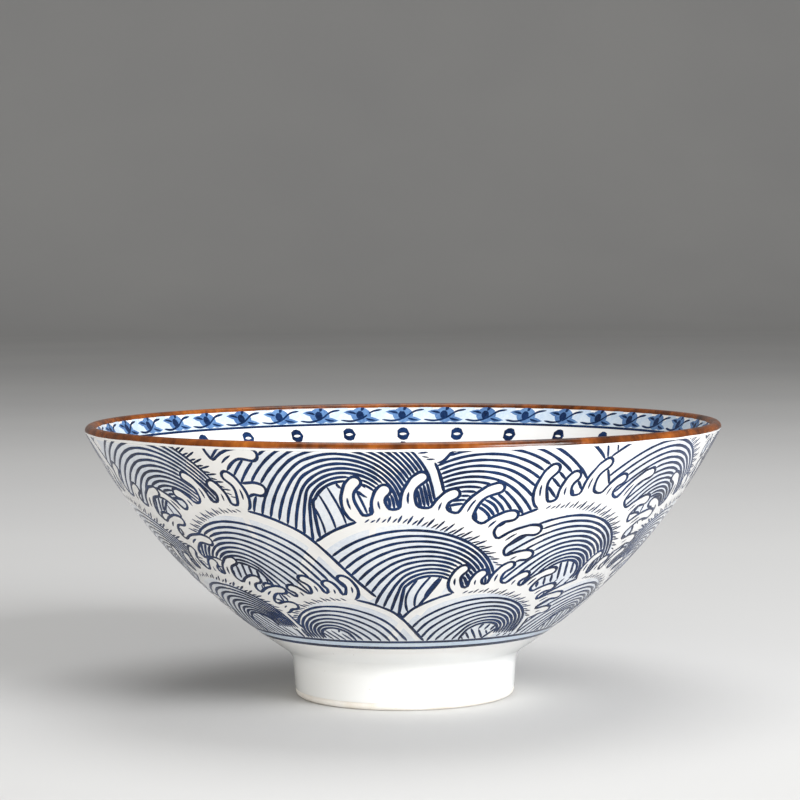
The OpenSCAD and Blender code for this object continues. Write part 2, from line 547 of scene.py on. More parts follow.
FAN = 0.68                      # the fan's angle for each angle round the cup
HALF_TURN = np.exp(1j * math.pi * FAN)
FAN_LOW, FAN_HIGH = 33.95, 70.7         # from the thin foot line to the brown lip
COLUMNS = 5                     # waves in a row, in half of the cup
ROWS = (37, 47.5, 60.5)         # how far from the tip each row's waves stand
WAVE_SIZE = 0.26                # half a wave's width, for each mm from the tip
FINGER_JOINTS = 7               # joints of each finger of foam
FINGER_CURL = 1.2               # how far a finger turns over, in radians
HATCH_GAP = 0.72                # between the short strokes at the back of the foam
HATCH_LONG, HATCH_SHORT = 0.1, 0.6      # how many girths from the spine they end
FINGER_REACHES = (1, 0.6, 0.85, 0.5)    # the fingers' lengths, one after another
FALL_LINES = 15                 # lines in each sheet of falling water
WHITE_OUTLINES = []             # the foam and the bare strips, laid over the wash


def on_fan(points):
    """Which points lie on the drawn part of the wall."""
    return (np.abs(points) > FAN_LOW) & (np.abs(points) < FAN_HIGH)


def band(a, b, count, white=0.0, width=LINE, edges=(EDGE, EDGE)):
    """Strokes that pass evenly from edge a to edge b. white leaves a bare strip beside b."""
    a, b = smooth(a), smooth(b)
    n = max(len(a), len(b))
    a, b = even(a, n), even(b, n)
    strokes = []
    for i in range(count):
        t = (i + 1) / (count + 1) * (1 - white)
        strokes.append((smooth(resample(a * (1 - t) + b * t, 2.0)), width))
    strokes += [(edge, w) for edge, w in zip((a, b), edges) if w]
    if white:
        inner = b + (a - b) * white
        shown = on_fan(b) & on_fan(inner)
        for p, q in zip(runs(inner, shown), runs(b, shown)):
            WHITE_OUTLINES.append(np.concatenate([p, q[::-1]]))
    outline = np.concatenate([a, b[::-1]])
    return (lambda p: inside(p, outline)), strokes


def crest(spine, girth, side, reach, every):
    """White foam of a plain pattern: a rounded bank along a spine, with fingers that leave one
    side of it (1 left of the way along, -1 right) and curl forward, long and short in turn. The
    bank's other side has no line, and short strokes run into it from there."""
    line = smooth(spine, every)
    way = np.gradient(line)
    way /= np.abs(way)
    girth_at = np.linspace(0, 1, len(girth))
    thick = np.interp(np.linspace(0, 1, len(line)), girth_at, girth)
    fingers = [[(p.real, p.imag, r) for p, r in zip(line, thick)]]
    strokes = []
    bend = np.exp(1j * side * (0.35 - FINGER_CURL * np.linspace(0, 1, FINGER_JOINTS) ** 1.5))
    for k, (root, step, r) in enumerate(zip(line, way, thick)):
        length = r + reach * FINGER_REACHES[k % 4]
        finger = root + side * 1j * step * np.cumsum(bend) * length / FINGER_JOINTS
        taper = np.interp(np.arange(FINGER_JOINTS), (0, 4, 6), (1.0, 0.62, 0.92)) * (0.42 + 0.085 * reach)
        fingers.append([(p.real, p.imag, t) for p, t in zip(finger, taper)])
        strokes.append((smooth(finger[1:4], 0.2), THIN))
    joints = np.array([joint for finger in fingers for joint in finger])
    pad = joints[:, 2].max() + 1.5
    x = np.arange(joints[:, 0].min() - pad, joints[:, 0].max() + pad, FIELD_GRID)
    y = np.arange(joints[:, 1].min() - pad, joints[:, 1].max() + pad, FIELD_GRID)
    at = x[None, :] + 1j * y[:, None]
    field = blob_distance(at, fingers)
    curves = [soften(c) for c in contour(field, x, y) if len(c) > 8]
    outer = max(curves, key=len)
    held = np.maximum(field, np.maximum(FAN_LOW + 0.1 - np.abs(at), np.abs(at) - FAN_HIGH))
    WHITE_OUTLINES.extend(soften(c) for c in contour(held, x, y) if len(c) > 24)
    fine = smooth(spine, HATCH_GAP)
    fine_way = np.gradient(fine)
    fine_way /= np.abs(fine_way)
    for curve in curves:
        nearest = np.abs(curve[:, None] - fine[None, :]).argmin(1)
        ahead = ((curve - fine[nearest]) * fine_way[nearest].conj()).imag * side
        strokes += [(run, EDGE) for run in runs(curve, ahead > -0.3)]
    for k, (root, step) in enumerate(zip(fine[1:-1], fine_way[1:-1])):
        r = np.interp(k / len(fine), girth_at, girth)
        start = root - side * 1j * step * 1.25 * r
        end = root + step * 0.7 - side * 1j * step * r * (HATCH_LONG, HATCH_SHORT)[k % 2]
        strokes.append((even(np.array([start, end]), 7), THIN))
    return (lambda p: inside(p, outer)), strokes


def fan_point(radius, part):
    """A point on the fan: part goes from 0 to 1 across the half of the cup."""
    return radius * 1j * np.exp(-1j * math.pi * FAN * (part - 0.5))


def wave(place, size, lean, hand):
    """One rolling wave: foam on its curl, and a nest of lines that rise from its foot and curl
    over to the right (hand 1) or the left (-1), with a bare strip along their back."""
    up = place / abs(place) * size * np.exp(-1j * lean)
    turn = np.linspace(0, 1, 9)
    back = (1.04 - 0.12 * turn) * np.exp(1j * (3.4 - 3.7 * turn)) + 0.08 * turn
    heart = (0.3 - 0.08 * turn) * np.exp(1j * (3.6 - 3.9 * turn)) + 0.3 - 0.1j
    back[0] = -1.1 - 0.8j
    heart[0] = -0.1 - 0.95j

    def placed(shape):
        return place - 1j * up * (shape if hand > 0 else -shape.conj())

    foam = crest(placed(1.02 * back[3:8]), (0.4, 0.1 * size, 0.12 * size, 0.1 * size, 0.4), hand,
                 0.48 * size, 0.28 * size)
    nest = band(placed(heart), placed(back), int(size * 0.82), white=0.11)
    return [foam, nest]


def wave_motifs():
    """Every wave of half the cup, front ones first: the low rows stand before the high ones."""
    motifs = []
    for row, radius in enumerate(ROWS):
        for k in range(COLUMNS):
            part = (k + 0.5 * (row % 2) + rng.uniform(-0.1, 0.1)) / COLUMNS
            size = WAVE_SIZE * radius * rng.uniform(0.85, 1.15)
            place = fan_point(radius * rng.uniform(0.97, 1.03), part)
            motifs += wave(place, size, rng.uniform(-0.25, 0.25), -1 if (k + row) % 3 == 2 else 1)
    return motifs


def falls():
    """The sheets of falling lines that fill what the waves leave free."""
    motifs = []
    for k in range(COLUMNS):
        left, right = [np.array([fan_point(radius, (k + side + sway) / COLUMNS)
                                 for radius, sway in ((33, 0.5), (45, 0.2), (58, 0.45), (72, 0.3))])
                       for side in (0, 1)]
        motifs.append(band(left, right, FALL_LINES, width=THIN, edges=(0, 0)))
    return motifs


def wall_strokes():
    """The strokes of one half of the cup."""
    return visible(wave_motifs() + falls(), (1, HALF_TURN, 1 / HALF_TURN), on_fan)


# ------------------------ the prints inside
# They are drawn as seen from above: x and y in mm from the cup's axis.

LEAVES = 40
BEADS = 30
WALL_LEAN = 0.51                # how much shorter a length up the inner wall looks from above


def on_ring(points, radius, part):
    """Flat points set upright on a ring: x runs clockwise from a part of a turn, y up the wall."""
    p = points if isinstance(points, np.ndarray) else as_curve(points)
    return (radius + p.imag * WALL_LEAN) * np.exp(1j * (part * 2 * math.pi - p.real / radius))


def petal(x, y, length, width, turn, bend=0.0):
    """The outline of a pointed petal that leaves (x, y), turned by degrees from +x."""
    s = np.linspace(0, 1, 9)
    spine = length * s * np.exp(1j * bend * s)
    half = width / 2 * np.sin(math.pi * s**0.8)
    outline = np.concatenate([spine + 1j * half, (spine - 1j * half)[-2:0:-1]])
    return complex(x, y) + outline * np.exp(1j * math.radians(turn))


# ------------------------ the picture on the floor
# A coiled dragon of no particular story, over faint waves. It is drawn as an eye close above
# the cup sees it: x to the right and y up, in mm, to scale at the rim. A part of it is
# (fills, strokes): closed outlines, and a list of (curve, width). Front parts come first.

SKETCH_R = 35.3                 # the picture's edge, as drawn
OUTLINE, SCALE = 0.3, 0.2       # widths of the strokes inside
SPINE_STEP = 0.3                # length of a step along a limb
FIN_HEIGHT = 1.5
FOOT_SIZE = 1.15
DRAGON_SCALE = 0.88             # the drawing is made a little smaller, to stay inside the ring
PEARL = 3 - 8j


def along_limb(points, widths):
    """The spine of a limb, the unit step along it, and half its width at each point."""
    spine = smooth(points, SPINE_STEP)
    way = np.gradient(spine)
    way /= np.abs(way)
    half = np.interp(np.linspace(0, 1, len(spine)), np.linspace(0, 1, len(widths)), widths) / 2
    return spine, way, half


def scale_rows(spine, way, half, pitch):
    """Staggered arcs across a limb, like roof tiles."""
    strokes = []
    rows = np.arange(-0.5 * pitch, len(spine) * SPINE_STEP - pitch, pitch)
    lap = np.linspace(-1.45, 1.45, 7)
    for k, run in enumerate(rows):
        i = max(0, min(int(run / SPINE_STEP), len(spine) - 1))
        across = max(1, int(round(2 * half[i] / pitch)))
        gap = 2 * half[i] / across
        for j in range(across + k % 2):
            at = (j + 0.5 - (k % 2) / 2) * gap - half[i]
            if abs(at) > half[i] - 0.3 - max(0.0, -run) * 0.6:
                continue
            tile = np.exp(1j * lap) * 0.52 * gap
            strokes.append((spine[i] + way[i] * (tile.real + min(run, 0) + 1j * (at + tile.imag)), SCALE))
    return strokes


def limb(points, widths, pitch, whole=False):
    """A scaly leg, or the whole body, which has a belly on its right and fins on its left."""
    spine, way, half = along_limb(points, widths)
    left, right = spine + 1j * way * half, spine - 1j * way * half
    bow = np.exp(1j * np.linspace(0.5, 0, 7)[1:-1] * math.pi)
    far = spine[-1] + np.concatenate([bow, bow[::-1].conj()]) * way[-1] * half[-1]
    near = spine[0] - np.concatenate([bow, bow[::-1].conj()]) * way[0] * half[0]
    fills = [np.concatenate([left, far, right[::-1], near])]
    strokes = [(np.append(fills[0], fills[0][0]), OUTLINE)]
    if not whole:
        return fills, strokes + scale_rows(spine, way, half, pitch)
    strip = 0.3 * half
    edge = spine - 1j * way * (half - 2 * strip)
    strokes.append((edge, OUTLINE))
    strokes += [(even(np.array([edge[i], right[i]]), 5), SCALE) for i in range(2, len(spine) - 2, 3)]
    strokes += scale_rows(spine + 1j * way * strip, way, half - strip, pitch)
    turning = (np.gradient(way) * way.conj()).imag / SPINE_STEP
    for i in range(3, len(spine) - 8, 7):
        if turning[i + 3] * (half[i] + FIN_HEIGHT) > 0.85:      # they would cross in a tight bend
            continue
        tip = left[i + 3] + FIN_HEIGHT * (1j * way[i + 3] - 0.5 * way[i + 3])
        hook = smooth(np.array([left[i], (left[i] + tip) / 2 - 0.2 * way[i], tip]), 0.2)
        back = smooth(np.array([tip, (left[i + 5] + tip) / 2 - 0.35 * way[i], left[i + 5]]), 0.2)
        fills.append(np.concatenate([hook, back[1:]]))
        strokes += [(hook, SCALE), (back, SCALE)]
    return fills, strokes


def ribbon(points, width, ends=(0.2, 0.1)):
    """A ribbon or a hair that swells and thins away, with lines along its edges."""
    spine, way, _ = along_limb(points, [1, 1])
    u = np.linspace(0, 1, len(spine))
    half = width / 2 * np.interp(u, [0, 0.3, 0.7, 1], [ends[0], 1, 0.8, ends[1]])
    left, right = spine + 1j * way * half, spine - 1j * way * half
    return [np.concatenate([left, right[::-1]])], [(left, 0.18), (right, 0.18)]


def flame(x, y, length, width, turn, bend):
    """A curved pointed tuft with one line down it."""
    outline = petal(x, y, length, width, turn, bend)
    s = np.linspace(0.1, 0.75, 9)
    middle = complex(x, y) + length * s * np.exp(1j * (bend * s + math.radians(turn)))
    return [outline], [(np.append(outline, outline[0]), 0.2), (middle, 0.16)]


def foot(x, y, turn):
    """A palm and five curved claws that spread about a direction in degrees."""
    size = FOOT_SIZE
    claws = []
    for spread, length in ((-78, 2.7), (-36, 3.3), (4, 3.5), (44, 3.2), (150, 2.2)):
        way = math.radians(turn + spread)
        root = complex(x, y) + 0.8 * size * np.exp(1j * way)
        curl = 0.9 if spread < 100 else -0.9
        s = np.linspace(0, 1, 6)
        line = root + length * size * s * np.exp(1j * (way + curl * (s - 0.4)))
        claws.append(ribbon(line, 1.05 * size, (0.9, 0.15)))
    palm = oval(x, y, 1.4 * size, 1.1 * size, turn)
    knuckles = oval(x, y, 0.7 * size, 0.5 * size, turn, 0.15)[:10]
    return [([palm], [(palm, 0.24), (knuckles, SCALE)]), *claws]


def head():
    """A plain horned head with its mouth open, drawn looking left."""
    skull = smooth([(2.4, 11.6), (0.6, 13.4), (-1.6, 13.9), (-3.4, 13.2), (-4.4, 12), (-5.8, 11.9),
                    (-7.4, 11.5), (-8.8, 12.2), (-9.8, 13.1), (-11, 13), (-12, 12), (-12.4, 10.9),
                    (-11.8, 10), (-10.2, 9.8), (-8.4, 9.3), (-6.6, 8.9), (-5, 8.1), (-3.8, 7.2),
                    (-2.6, 6), (-1, 5), (1.4, 5.6), (3.2, 8)], closed=True)
    jaw = smooth([(-1.6, 7.4), (-3.6, 7.1), (-5.4, 6.4), (-7.4, 6.1), (-9, 6.5), (-10.2, 7.5),
                  (-11.2, 7.4), (-11.4, 6.2), (-10.4, 4.8), (-8.6, 4.1), (-6.4, 3.5), (-4, 3.3),
                  (-1.4, 4.4)], closed=True)
    lines = [
        ([(-1.6, 11.6), (-2.8, 12.7), (-4.2, 12.3), (-5.4, 11.3), (-6.2, 10.9)], OUTLINE),
        ([(-2.2, 10.6), (-3, 9.9), (-4.4, 9.6), (-5.8, 10.2)], SCALE),
        ([(-3, 8.2), (-1.4, 9), (-0.8, 10.4), (-1.2, 12)], SCALE),
        ([(-2, 7), (-0.2, 8), (0.6, 9.8)], SCALE),
        ([(-3.6, 8), (-5.6, 9.2), (-8, 9.9), (-10.4, 10.5), (-12.1, 10.9)], SCALE),
        ([(-8.8, 12.1), (-9.2, 11.3), (-10.2, 11), (-11, 11.4)], SCALE),
        ([(-6.6, 11.4), (-7, 10.7), (-7.9, 10.6)], SCALE),
        ([(-7.8, 11.6), (-8.1, 10.9), (-8.9, 10.8)], SCALE),
    ]
    strokes = [(np.append(skull, skull[0]), OUTLINE), (oval(-10.7, 12, 0.45, 0.32, 20, 0.15), 0.24),
               (oval(-3.9, 10.9, 0.85, 0.6, -12, 0.15), 0.24), (oval(-4.1, 10.9, 0.22, 0.2, 0, 0.1), 0.36)]
    strokes += [(smooth(points, 0.2), width) for points, width in lines]
    strokes += [(smooth([(x, 13.2), (x + 0.7, 11.8), (x + 0.3, 10.2)], 0.2), SCALE) for x in (-0.9, 0.1, 1.1)]
    face = ([skull], strokes)
    chin_line = smooth([(-2.6, 5.6), (-5, 4.9), (-7.4, 4.9), (-9.8, 5.8)], 0.2)
    chin = ([jaw], [(np.append(jaw, jaw[0]), OUTLINE), (chin_line, SCALE)])
    tongue = ribbon([(-3.4, 7.7), (-6.4, 7.4), (-9, 8.2), (-11, 8.7), (-13, 8)], 0.8)
    teeth = [flame(x, y, length, 0.55, turn, 0.2) for x, y, length, turn in (
        (-10.9, 9.9, 1.5, 268), (-9, 9.5, 1.1, 265), (-7.3, 9.1, 1.0, 262), (-5.8, 8.5, 0.9, 258),
        (-10.4, 7.3, 1.4, 92), (-8.6, 6.3, 1.0, 95), (-7, 6.1, 0.9, 98))]
    horns = [ribbon([(-1.4, 13), (-0.4, 16), (-1.6, 18.4), (-0.8, 20.6), (-2.4, 23)], 1.6, (1, 0.15)),
             ribbon([(-3.6, 12.6), (-4.6, 15), (-6.6, 16.6), (-6.6, 18.6), (-8.4, 20.4)], 1.4, (1, 0.15)),
             flame(-0.8, 18.4, 2.6, 0.8, 50, -0.4), flame(-6.2, 17, 2.2, 0.7, 130, 0.4)]
    ear = flame(0.6, 13, 3.8, 1.8, 52, -0.9)
    whiskers = [ribbon([(-11.4, 12), (-13, 14.2), (-15.2, 13.4), (-17, 15.4), (-19.4, 14.4)], 0.6),
                ribbon([(-11.2, 10.2), (-13.4, 8.8), (-15, 10), (-17.4, 8.6)], 0.5)]
    beard = [flame(x, y, length, 1.1, turn, bend) for x, y, length, turn, bend in (
        (-10.4, 5.2, 4.4, 225, -0.9), (-8.8, 4.6, 5.4, 235, -0.9), (-7, 4.1, 6, 245, -0.8),
        (-5.2, 3.8, 6.6, 252, -0.9), (-3.4, 3.8, 5.6, 262, -0.6), (-1.8, 4.4, 5, 275, -0.5))]
    mane = [flame(2.4 - 0.018 * (k - 4) ** 2 * 9, 13.2 - 1.15 * k, 6 + 1.6 * (k % 2), 1.7, 50 - 15.5 * k, 0.8)
            for k in range(8)]
    return [face, chin, ear, *horns, *teeth, tongue, *mane, *whiskers, *beard]


def moved(part, place):
    """A part with every curve of it put through place."""
    fills, strokes = part
    return [place(outline) for outline in fills], [(place(curve), width) for curve, width in strokes]


def dragon_parts():
    """The body is a plain coil worked out by rule, with the head in the middle, and the legs, tufts
    and ribbons all set along it in the same way."""
    run = np.linspace(0, 1, 26)
    angle = np.radians(150 - 470 * run)
    coil = (8.4 + 18.6 * run**0.8 + 0.9 * np.sin(3 * angle)) * np.exp(1j * angle)
    body = limb(coil, (3.8, 5, 5.6, 6, 6.2, 6.2, 5.8, 5, 4, 2.8, 0.8), 1.15, whole=True)
    spine, way, _ = along_limb(coil, [1, 1])

    def beside(part, shape):
        """Points given along the body and out from it, at a part of its length."""
        i = int(part * (len(spine) - 1))
        return spine[i] + way[i] * as_curve(shape)

    legs, feet, tufts = [], [], []
    for part in (0.16, 0.33, 0.58, 0.74):
        bones = beside(part, [(0, 0), (2.8, 4.4), (6.6, 4.8), (9.4, 8.2)])
        legs.append(limb(bones, (4.4, 3.8, 2.5, 1.7), 0.95))
        feet += foot(bones[-1].real, bones[-1].imag, math.degrees(np.angle(bones[-1] - bones[-2])))
        back = math.degrees(np.angle(bones[1] - bones[0]))
        tufts += [flame(bones[1].real, bones[1].imag, length, 1.8, back + turn, 0.5)
                  for length, turn in ((5.2, 8), (4, 40))]
    bands = [ribbon(beside(part, [(0, 2), (-2.4, 4.6), (-0.6, 7.2), (-3.4, 9.4), (-2.2, 12)]), 0.9)
             for part in (0.24, 0.45, 0.67)]
    ahead = math.degrees(np.angle(way[-1]))
    tip = [flame(spine[-1].real, spine[-1].imag, 5.4, 1.3, ahead + turn, 0.5) for turn in (30, 0, -30)]
    face = [moved(part, lambda p: coil[0] - (p - (1 + 9j)).conj() * np.exp(-0.15j)) for part in head()]
    rim, core = [oval(PEARL.real, PEARL.imag, size, size, 0) for size in (2.4, 1.3)]
    pearl = ([rim], [(rim, OUTLINE), (core, SCALE)])
    licks = [flame(PEARL.real, PEARL.imag, 5.4, 1.7, turn, 0.7) for turn in range(0, 360, 60)]
    drawn = [*face, *tip, *feet, *legs, body, *tufts, *bands, pearl, *licks]
    return [moved(part, lambda p: DRAGON_SCALE * p) for part in drawn]


def ground_waves():
    """Faint fans of arcs that lap over one another."""
    motifs = []
    gap = 6.4
    rows = np.arange(-SKETCH_R, SKETCH_R + gap, 0.45 * gap)
    for k, y in enumerate(rows):
        for x in np.arange(-SKETCH_R, SKETCH_R + gap, gap) + (k % 2) * gap / 2:
            centre = complex(x + 1.2 * (rng.random() - 0.5), y + 1.2 * (rng.random() - 0.5))
            lean = 0.9 * (rng.random() - 0.5)
            arcs = np.linspace(0.2 + lean, math.pi - 0.2 + lean, 14)
            strokes = [(centre + r * np.exp(1j * arcs), 0.17) for r in (1.1, 2.0, 2.9, 3.8, 4.7)]
            outline = centre + 4.7 * np.exp(1j * np.linspace(lean, math.pi + lean, 14))
            motifs.append(((lambda p, o=outline: inside(p, o)), strokes))
    return motifs


# ------------------------ flat drawings laid on the cup

def wall_fan():
    """How far each height of the wall is from the fan's tip, and its angle on the wall's arc."""
    angles = np.linspace(angle_to(OUTER_C, NECK), LIP_A, 1500)
    r = OUTER_C[0] + WALL_CURVE_R * np.cos(angles)
    rise = np.diff(angles) * WALL_CURVE_R / ((r[1:] + r[:-1]) / 2)
    climb = np.concatenate([[0], np.cumsum(rise)])
    return FAN_UNIT_R / FAN * np.exp(FAN * (climb - np.interp(FAN_UNIT_R, r, climb))), angles


FAN_UNIT_R = 35.0               # the fan is to scale at this radius of the cup
FAN_REACH, FAN_ANGLES = wall_fan()


def on_outside(points, height):
    """Places on the outer wall, in mm, for points of the fan, raised by a height."""
    turn = np.arctan2(points.real, points.imag) / FAN
    angle = np.interp(np.abs(points), FAN_REACH, FAN_ANGLES)
    r = OUTER_C[0] + (WALL_CURVE_R + height) * np.cos(angle)
    z = OUTER_C[1] + (WALL_CURVE_R + height) * np.sin(angle)
    return np.stack([r * np.sin(turn), -r * np.cos(turn), z], 1)


def on_inside(points, height):
    """Places on the inner face, in mm, for points seen from above, raised by a height."""
    away = np.maximum(np.abs(points), 1e-9)
    on_floor = away < MEET[0]
    radius = np.where(on_floor, FLOOR_R, INNER_WALL_R)
    centre_r = np.where(on_floor, 0, INNER_C[0])
    centre_z = np.where(on_floor, FLOOR_C[1], INNER_C[1])
    cosine = np.clip((away - centre_r) / radius, -1, 1)
    r = centre_r + (radius - height) * cosine
    z = centre_z - (radius - height) * np.sqrt(1 - cosine**2)
    way = points / away
    return np.stack([r * way.real, r * way.imag, z], 1)


EYE = 96.0                      # how far above the rim the eye is that sees the picture as drawn


def on_picture(points, height):
    """Places on the inner face for points of the picture, as the eye close above the cup sees them."""
    true = np.linspace(0, BORDER_R, 300)
    depth = HEIGHT - on_inside(true.astype(complex), 0.0)[:, 2]
    seen = true * EYE / (EYE + depth)
    away = np.maximum(np.abs(points), 1e-9)
    return on_inside(points / away * np.interp(away, seen, true), height)


STRIP_STEP = 0.4                # length of a step along a drawn line
STRIP_TAPER = 0.5               # how far from its end a line starts to narrow
SUNK = -0.03                    # how deep a print reaches into the glaze


class Print:
    """A piece made of raised strips and patches that lie on a surface."""

    def __init__(self, surface, lift):
        self.surface = surface
        self.lift = lift
        self.points, self.heights, self.faces = [], [], []
        self.count = 0

    def add(self, points, heights, faces):
        """Adds points of the flat map, their heights, and faces that count from the first of them."""
        self.points.append(points)
        self.heights.append(heights)
        self.faces += [[i + self.count for i in face] for face in faces]
        self.count += len(points)

    def strip(self, curve, width):
        """A raised line of a width that wavers a little and narrows at its ends."""
        length = np.abs(np.diff(curve)).sum()
        if length < 0.3:
            return
        closed = abs(curve[0] - curve[-1]) < 1e-6
        count = max(4, int(length / STRIP_STEP) + 1)
        line = even(curve, count)
        if closed:
            line = line[:-1]
            way = np.roll(line, -1) - np.roll(line, 1)
        else:
            ends = np.array([0.12, 0.3]) / length * (count - 1)
            at = np.concatenate([[0], ends, np.arange(1, count - 1), count - 1 - ends[::-1], [count - 1]])
            at = np.unique(np.clip(at, 0, count - 1))
            line = np.interp(at, range(count), line.real) + 1j * np.interp(at, range(count), line.imag)
            way = np.gradient(line)
        way /= np.maximum(np.abs(way), 1e-9)
        run = np.concatenate([[0], np.cumsum(np.abs(np.diff(line)))])
        phase = rng.random() * 6.28
        half = width / 2 * (1 + 0.12 * np.sin(run * 1.9 + phase) * np.cos(run * 0.7 + 2 * phase))
        if not closed:
            near_end = np.minimum(run, run[-1] - run)
            half *= np.clip(0.3 + 0.7 * near_end / STRIP_TAPER, 0, 1)
        n = len(line)
        side = 1j * way * half
        points = np.stack([line - side, line - 0.75 * side, line + 0.75 * side, line + side], 1).ravel()
        top = self.lift + 0.004 * rng.random()
        heights = np.tile([SUNK, top, top, SUNK], n)
        step = np.arange(n if closed else n - 1)[:, None] * 4
        ring = np.arange(4)[None, :]
        after = (ring + 1) % 4
        ahead = (step + 4) % (4 * n)
        faces = np.stack([step + ring, step + after, ahead + after, ahead + ring], 2).reshape(-1, 4).tolist()
        if not closed:
            faces += [[3, 2, 1, 0], [4 * n - 4, 4 * n - 3, 4 * n - 2, 4 * n - 1]]
        self.add(points, heights, faces)

    def patch(self, outline, level=0.0, grid=0.9):
        """A raised patch inside a closed outline."""
        if abs(outline[0] - outline[-1]) < 1e-6:
            outline = outline[:-1]
        x = np.arange(outline.real.min(), outline.real.max(), grid)
        y = np.arange(outline.imag.min(), outline.imag.max(), grid)
        inner = (x[None, :] + 1j * y[:, None]).ravel()
        inner = inner[inside(inner, outline)]
        if len(inner):
            gap = np.abs(inner[:, None] - outline[None, :]).min(1)
            inner = inner[gap > 0.35 * grid]
        flat = np.concatenate([outline, inner])
        places = [Vector((p.real, p.imag)) for p in flat]
        vertices, _, triangles, *_ = delaunay_2d_cdt(places, [], [list(range(len(outline)))], 1, 1e-6)
        if not triangles:
            return
        flat = np.array([complex(v[0], v[1]) for v in vertices])
        n = len(flat)
        top = self.lift + level + 0.003 * rng.random()
        edges = dict.fromkeys(edge for a, b, c in triangles for edge in ((a, b), (b, c), (c, a)))
        under = [(c + n, b + n, a + n) for a, b, c in triangles]
        sides = [(b, a, a + n, b + n) for a, b in edges if (b, a) not in edges]
        heights = np.repeat([top, SUNK], n)
        self.add(np.concatenate([flat, flat]), heights, [*triangles, *under, *sides])

    def piece(self, name, twice=False):
        """The piece, with the same again half a turn round the cup if wanted twice."""
        vertices = self.surface(np.concatenate(self.points), np.concatenate(self.heights))
        faces = self.faces
        if twice:
            faces = faces + [[i + len(vertices) for i in face] for face in faces]
            vertices = np.concatenate([vertices, vertices * (-1, -1, 1)])
        return mesh_object(name, vertices, faces)


# ------------------------ turned pieces

COAT_BACK = 0.15                # how deep a coat's back lies under its face
RING_LIFT = 0.016               # how far a printed ring stands above the glaze
BROWN_OUTER_A = math.radians(-2)        # where the brown ends on the lip's round section, outside
BROWN_INNER_A = math.radians(176)       # and inside


def make_outer_coat(material):
    """The clear glaze outside, down to the bare foot edge."""
    piece = turned("outer_coat", outside_profile() + outside_profile(COAT_BACK, 2.5)[::-1])
    finish_piece(piece, material, "clear_glaze", "outer_glaze")


def make_inner_coat(material):
    """The clear glaze inside."""
    piece = turned("inner_coat", inside_profile()[::-1] + inside_profile(COAT_BACK, 2.5))
    finish_piece(piece, material, "clear_glaze", "inner_glaze")


def make_base_coat(material):
    """The clear glaze in the hollow under the foot."""
    piece = turned("base_coat", recess_profile()[::-1] + recess_profile(COAT_BACK))
    finish_piece(piece, material, "clear_glaze", "base_glaze")


def make_foot_edge(material):
    """The bare clay foot, whose rounded edge shows below the glaze."""
    edge = FOOT_EDGE_R
    out = on_foot(edge * (1 - math.sin(LEAN)), -edge)
    back = COAT_BACK + 0.02
    left = RECESS_R + edge
    profile = [on_foot(4.0, -back), on_foot(1.6, -back), on_foot(BARE_EDGE_H + 0.2, -back),
               on_foot(BARE_EDGE_H + 0.08, -0.02)]
    profile += arc(out, edge, -LEAN, -math.pi / 2, 0.12)
    profile += arc(np.array([left, edge]), edge, -math.pi / 2, -math.pi, 0.12)
    profile += [np.array([RECESS_R, BARE_EDGE_H + 0.05]), np.array([RECESS_R + back, BARE_EDGE_H + 0.2]),
                np.array([RECESS_R + back, RECESS_DEPTH]), np.array([RECESS_R + back, 4.5])]
    piece = turned("foot_ring", profile[::-1])
    finish_piece(piece, material, "porcelain_clay", "clay_foot_ring")


def make_lip(material):
    """The brown glaze over the lip's round section, whose two edges waver."""
    angles = np.arange(TURNS) * 2 * math.pi / TURNS
    waves = [(3 + 4 * k + rng.randrange(4), rng.random() * 6.28) for k in range(14)]
    drip = sum(np.sin(n * angles + phase) / (1 + 0.12 * n) for n, phase in waves)
    outer_end = BROWN_OUTER_A + 0.04 * drip
    inner_end = BROWN_INNER_A + 0.05 * np.roll(drip, 100)
    rows = []
    for proud, parts in ((0.035, np.linspace(0, 1, 22)), (-0.06, np.linspace(1, 0, 12))):
        for part in parts:
            around = outer_end + (inner_end - outer_end) * part
            r = LIP[0] + (LIP_R + proud) * np.cos(around)
            z = LIP[1] + (LIP_R + proud) * np.sin(around)
            rows.append(np.stack([r * np.sin(angles), -r * np.cos(angles), z], 1))
    finish_piece(lathe("brown_lip", rows[::-1]), material, "brown_glaze", "lip_glaze")


def ring_print(name, start, end, proud, inner=False):
    """A printed ring on the wall's outer or inner arc, between two angles of that arc."""
    centre, radius, sign = (INNER_C, INNER_WALL_R, -1) if inner else (OUTER_C, WALL_CURVE_R, 1)
    face = arc(centre, radius + sign * proud, start, end, 0.3)
    back = arc(centre, radius + sign * SUNK, end, start, 0.3)
    profile = face + back
    return turned(name, profile if inner else profile[::-1])


# ------------------------ printed pieces

def make_wave_prints(ink, wash, white):
    """The wave drawing, twice round the cup: a pale wash, white foam, outlines and lines."""
    low = float(np.interp(FAN_LOW, FAN_REACH, FAN_ANGLES))
    tint = ring_print("wave_wash", low, angle_at(OUTER_C, WALL_CURVE_R, LIP_Z), 0.003)
    finish_piece(tint, wash, "blue_print", "wave_print")
    strokes = wall_strokes()
    foam_white = Print(on_outside, 0.012)
    for k, outline in enumerate(WHITE_OUTLINES):
        foam_white.patch(outline, 0.0002 * k, grid=1.1)
    finish_piece(foam_white.piece("foam_white", twice=True), white, "blue_print", "wave_print")
    pieces = {"wave_outlines": Print(on_outside, 0.026), "wave_lines": Print(on_outside, 0.021),
              "wave_hatching": Print(on_outside, 0.021)}
    for curve, width in strokes:
        kind = "wave_outlines" if width == EDGE else "wave_hatching" if width < LINE else "wave_lines"
        pieces[kind].strip(curve, width)
    for name, drawing in pieces.items():
        finish_piece(drawing.piece(name, twice=True), ink, "blue_print", "wave_print")


